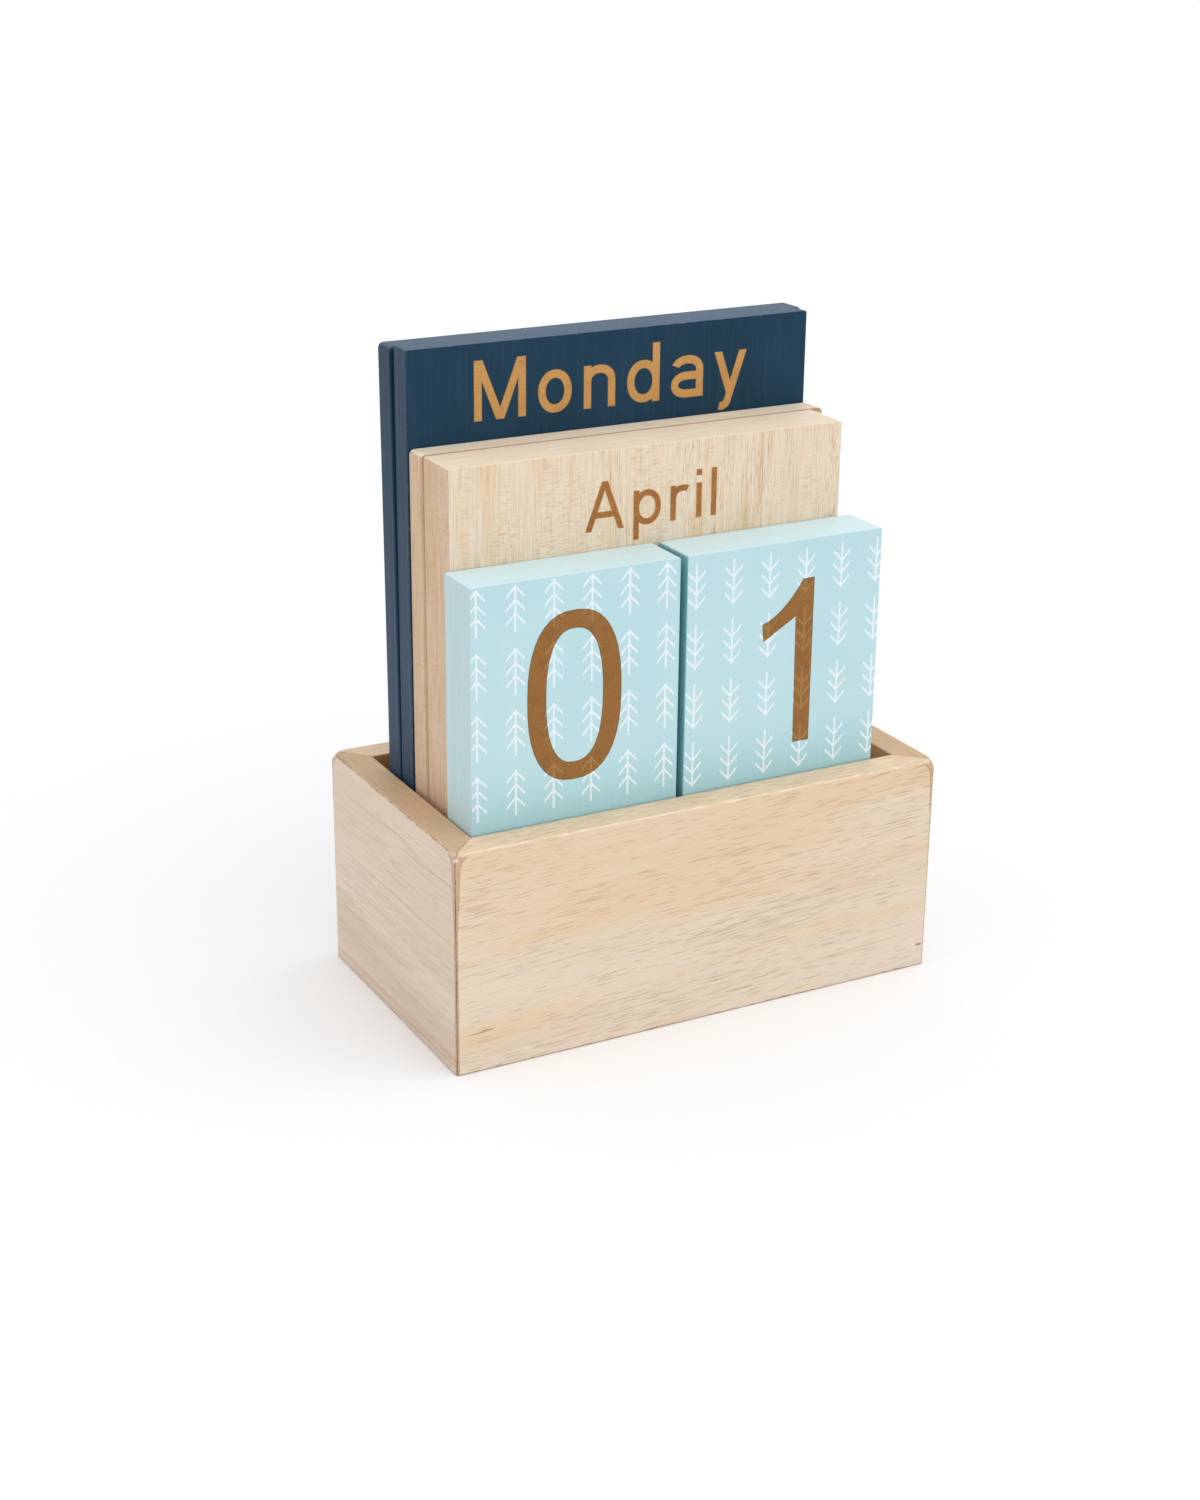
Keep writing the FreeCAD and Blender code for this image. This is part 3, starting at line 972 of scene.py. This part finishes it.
class Face:
    """One broad face of a board, with its middle, and the way from flat drawings to places on it."""

    def __init__(self, node, back, turned):
        low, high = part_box(node)
        self.node = node
        self.middle = (low + high) / 2
        self.out = 1 if back else -1
        self.across = -self.out
        self.turn = -1 if turned else 1
        self.width = high.x - low.x
        self.height = high.z - low.z
        self.y = high.y if back else low.y
        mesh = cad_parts[node].data
        corners = [vertex.co for vertex in mesh.vertices]
        self.tree = BVHTree.FromPolygons(corners, [face.vertices for face in mesh.polygons])

    def place(self, point, lift):
        """Where a drawn point comes to lie, a little proud of the board."""
        x = self.middle.x + self.turn * self.across * point[0]
        z = self.middle.z + self.turn * point[1]
        surface = self.tree.find_nearest(Vector((x, self.y, z)))[0]
        return Vector((x, surface.y + self.out * lift, z))

    def plate(self, name, drawing, lift, material, slot):
        """A thin raised layer in the shape of the drawing, which rides on the board."""
        points, triangles = drawing
        mesh = bpy.data.meshes.new(name)
        shell = bmesh.new()
        tops = [shell.verts.new(self.place(point, lift)) for point in points]
        faces = [shell.faces.new([tops[i] for i in triangle]) for triangle in triangles]
        loose = [vertex for vertex in shell.verts if not vertex.link_faces]
        bmesh.ops.delete(shell, geom=loose, context="VERTS")
        grown = bmesh.ops.extrude_face_region(shell, geom=shell.faces[:], use_keep_orig=True)
        for vertex in grown["geom"]:
            if isinstance(vertex, bmesh.types.BMVert):
                vertex.co.y -= self.out * lift
        bmesh.ops.triangulate(shell, faces=shell.faces)
        bmesh.ops.recalc_face_normals(shell, faces=shell.faces)
        shell.to_mesh(mesh)
        shell.free()
        mesh.materials.append(material)
        piece = bpy.data.objects.new(name, mesh)
        bpy.context.collection.objects.link(piece)
        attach(piece, self.node)


def board_faces(node):
    """The four places for a word or number: (face, back or not, turned upside down or not)."""
    for back in (False, True):
        for turned in (False, True):
            yield back, turned, Face(node, back, turned)


def place_name(node, back, turned):
    return f"{node}_{'back' if back else 'front'}_{'lower' if turned else 'upper'}"


def add_words(words, stroke, height, below_top, inks, slot):
    """A word at each end of both faces of every board, the lower one upside down."""
    for node, sides in words.items():
        for back, turned, face in board_faces(node):
            word = sides[back][turned]
            if not word:
                continue
            baseline = face.height / 2 - below_top - height
            widest = face.width * WORD_WIDTH_SHARE
            name = place_name(node, back, turned)
            rim = moved(word_shapes(word, stroke, height, WORD_RIM, widest), 1, 0, baseline)
            body = moved(word_shapes(word, stroke, height, 0, widest), 1, 0, baseline)
            face.plate(name + "_word_rim", covered(rim), WORD_RIM_LIFT, inks["rim"], slot)
            face.plate(name + "_word", covered(body), WORD_LIFT, inks["body"], slot)


def add_numbers(numbers, inks, slot):
    """The print on both faces of every tile, and a number at each end of each face."""
    for node, sides in numbers.items():
        aside, below_top = NUMBER_PLACES[node.split("_")[0]]
        for back, turned, face in board_faces(node):
            arrows = print_shapes(node, face.width, face.height)
            name = place_name(node, back, turned)
            if turned:
                arrows = moved(arrows, -1, 0, 0)
            else:
                face.plate(name + "_print", covered(arrows), PRINT_LIFT, inks["print"], slot)
            number = sides[back][turned]
            if not number:
                continue
            foot = face.height / 2 - below_top - NUMBER_HEIGHT
            rim = moved(number_shapes(number, NUMBER_HEIGHT, WORD_RIM), 1, aside, foot)
            body = moved(number_shapes(number, NUMBER_HEIGHT, 0), 1, aside, foot)
            face.plate(name + "_number_rim", covered(rim), WORD_RIM_LIFT, inks["rim"], slot)
            face.plate(name + "_number", covered(body), WORD_LIFT, inks["body"], slot)
            face.plate(name + "_number_ghost", covered(body, arrows), GHOST_LIFT, inks["ghost"], slot)


def dress(node, material):
    """Gives a part of the frame its material."""
    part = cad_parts[node]
    part.data.materials.clear()
    part.data.materials.append(material)


def dress_tray():
    """Each wall has its own run of grain; the short sides are greyer, with a browner rim."""
    # Tones: cream, warm, grey, rim, rim edge, line. The front and back's rim edge tone is a painted
    # highlight, the short sides' a brown worn line.
    front_tones = (shade(229, 211, 187), shade(226, 199, 164), shade(224, 210, 193), shade(240, 214, 182),
                   shade(246, 230, 208), shade(190, 150, 112))
    side_tones = (shade(229, 212, 193), shade(223, 204, 183), shade(212, 193, 172), shade(212, 180, 143),
                  shade(160, 122, 88), shade(190, 155, 118))
    front_shares = (0.43, 0.2, 0.6, 0.3)
    side_shares = (0.2, 0.6, 0.7, 0.3)
    low, high = cad_box
    wall_low, wall_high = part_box("front_wall")
    distances_to = (low, Vector((high.x, high.y, wall_high.z)))
    thickness = (wall_high.y - wall_low.y) / MM
    walls = {
        "front_wall": ("X", -0.05, front_tones, front_shares),
        "back_wall": ("X", 0.03, front_tones, front_shares),
        "left_wall": ("Y", 0.02, side_tones, side_shares),
        "right_wall": ("Y", -0.03, side_tones, side_shares),
    }
    for seed, (node, (along, tilt, tones, shares)) in enumerate(walls.items()):
        material = tray_wood(node + "_wood", along, tilt, seed, tones, distances_to, thickness, shares)
        dress(node, material)
    panel_tones = (shade(214, 190, 158), shade(200, 172, 134), shade(182, 156, 120), shade(235, 225, 215),
                   shade(206, 180, 146))
    dress("base_panel", bare_wood("base_panel_wood", "X", 5, panel_tones, 0.35))


def dress_boards():
    """Painted weekday boards and tiles, bare month boards."""
    # Month wood: cream, gold, olive, side tint, and the tops' tone, lighter than the faces as painted light.
    month_tones = (shade(233, 216, 193), shade(226, 194, 152), shade(207, 175, 134), shade(236, 223, 213),
                   shade(246, 230, 206))
    middle_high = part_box("month_board_middle")[1]
    rear_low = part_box("month_board_rear")[0]
    seam = ((middle_high.y + rear_low.y) / 2 / MM, middle_high.z / MM)
    for seed, node in enumerate(MONTHS):
        dress(node, bare_wood(node + "_wood", "Z", seed, month_tones, 0.45, seam))
    # Paint tones: face, cloudy, low (painted shade towards the tray), side, lower side and top (painted light
    # and shade; on the tiles partly a paler paint), scuff.
    navy = (shade(21, 55, 76), shade(29, 61, 84), shade(22, 50, 70), shade(40, 62, 82), shade(51, 71, 92),
            shade(68, 92, 114), shade(104, 124, 142))
    for seed, node in enumerate(WEEKDAYS):
        dress(node, paint(node + "_paint", seed, navy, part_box(node), 0.45, 0.12))
    blue = (shade(186, 220, 226), shade(181, 216, 223), shade(154, 203, 212), shade(184, 211, 214),
            shade(184, 212, 216), shade(209, 236, 243), shade(228, 241, 242))
    for seed, node in enumerate(NUMBERS):
        # The gap between the tens and ones tiles gets painted shade on the sides that face it.
        place = node.split("_")[-1]
        gap_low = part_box("tens_tile_" + place)[1].x
        gap_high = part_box("ones_tile_" + place)[0].x
        gap_with_painted_shade = ((gap_low + gap_high) / 2 / MM, (gap_high - gap_low) / 2 / MM)
        dress(node, paint(node + "_paint", seed, blue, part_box(node), 0.3, 0.5, gap_with_painted_shade))


def add_marks():
    """Words, numbers and print."""
    weekday_inks = {
        "body": ink("weekday_foil", (195, 144, 80), (170, 120, 61), (216, 169, 104), 2.2, 0.02),
        # The darker rim round the foil letters is a painted shadow along their pressed-in edges.
        "rim": ink("weekday_foil_painted_shadow_rim", (128, 104, 74), (98, 84, 66), (150, 120, 84), 2.2, 0.02),
    }
    month_inks = {
        "body": ink("month_burn", (163, 104, 47), (136, 84, 38), (188, 132, 72), 1.6, 0.03),
        "rim": ink("month_burn_rim", (196, 150, 104), (176, 128, 84), (214, 176, 134), 1.6, 0.03),
    }
    number_inks = {
        "body": ink("number_ink", (145, 98, 42), (124, 80, 30), (166, 120, 64), 2.4, 0.02),
        "rim": ink("number_ink_rim", (108, 76, 44), (88, 62, 38), (130, 96, 60), 2.4, 0.02),
        "ghost": ink("number_ink_over_print", (162, 117, 63), (144, 100, 50), (181, 138, 85), 2.4, 0.02),
        "print": ink("print_white", (228, 239, 245), (216, 232, 240), (240, 246, 249), 1.5, 0.02),
    }
    add_words(WEEKDAYS, WEEKDAY_STROKE_SHARE, WEEKDAY_CAP, WEEKDAY_BELOW_TOP, weekday_inks, "navy_paint")
    add_words(MONTHS, MONTH_STROKE_SHARE, MONTH_CAP, MONTH_BELOW_TOP, month_inks, "pale_wood")
    add_numbers(NUMBERS, number_inks, "light_blue_paint")


def add_floor():
    """A level square under the tray."""
    half = FLOOR_SIZE / 2
    corners = [(-half, -half, 0), (half, -half, 0), (half, half, 0), (-half, half, 0)]
    mesh = bpy.data.meshes.new("floor")
    mesh.from_pydata(corners, [], [range(4)])
    mesh.materials.append(floor_material())
    floor = bpy.data.objects.new("floor", mesh)
    bpy.context.collection.objects.link(floor)


def add_light():
    """A white sky that looks pure white to the camera, and one broad soft lamp."""
    world = bpy.data.worlds.new("sky")
    bpy.context.scene.world = world
    world.use_nodes = True
    nodes = world.node_tree.nodes
    links = world.node_tree.links
    background = nodes["Background"]
    background.inputs["Color"].default_value = (1, 1, 1, 1)
    path = nodes.new("ShaderNodeLightPath")
    seen = path.outputs["Is Camera Ray"]
    for kind in ("Is Glossy Ray", "Is Transmission Ray"):
        either = nodes.new("ShaderNodeMath")
        either.operation = "MAXIMUM"
        links.new(seen, either.inputs[0])
        links.new(path.outputs[kind], either.inputs[1])
        seen = either.outputs[0]
    level = nodes.new("ShaderNodeMapRange")
    links.new(seen, level.inputs["Value"])
    level.inputs["To Min"].default_value = SKY_LEVEL
    level.inputs["To Max"].default_value = 1.0
    links.new(level.outputs[0], background.inputs["Strength"])

    lamp = bpy.data.lights.new("lamp", "SUN")
    lamp.energy = LAMP_LEVEL * math.pi
    lamp.angle = LAMP_SPREAD
    holder = bpy.data.objects.new("lamp", lamp)
    holder.rotation_euler = LAMP_DIRECTION.to_track_quat("Z", "Y").to_euler()
    bpy.context.collection.objects.link(holder)


def add_camera():
    """A camera in the pose of the photograph."""
    azimuth = CAMERA_AZIMUTH
    elevation = CAMERA_ELEVATION
    back = Vector((math.sin(azimuth) * math.cos(elevation), -math.cos(azimuth) * math.cos(elevation),
                   math.sin(elevation)))
    right = Vector((math.cos(azimuth), math.sin(azimuth), 0))
    up = back.cross(right)
    rolled_right = math.cos(CAMERA_ROLL) * right + math.sin(CAMERA_ROLL) * up
    rolled_up = math.cos(CAMERA_ROLL) * up - math.sin(CAMERA_ROLL) * right
    camera = bpy.data.cameras.new("camera")
    camera.lens = CAMERA_LENS
    camera.sensor_width = CAMERA_SENSOR
    camera.clip_end = FLOOR_SIZE * 2
    holder = bpy.data.objects.new("camera", camera)
    turn = Matrix((rolled_right, rolled_up, back)).transposed().to_4x4()
    holder.matrix_world = Matrix.Translation(CAMERA_PLACE) @ turn
    bpy.context.collection.objects.link(holder)
    bpy.context.scene.camera = holder


bpy.context.scene.view_settings.view_transform = "Standard"
dress_tray()
dress_boards()
add_marks()
add_floor()
add_light()
add_camera()
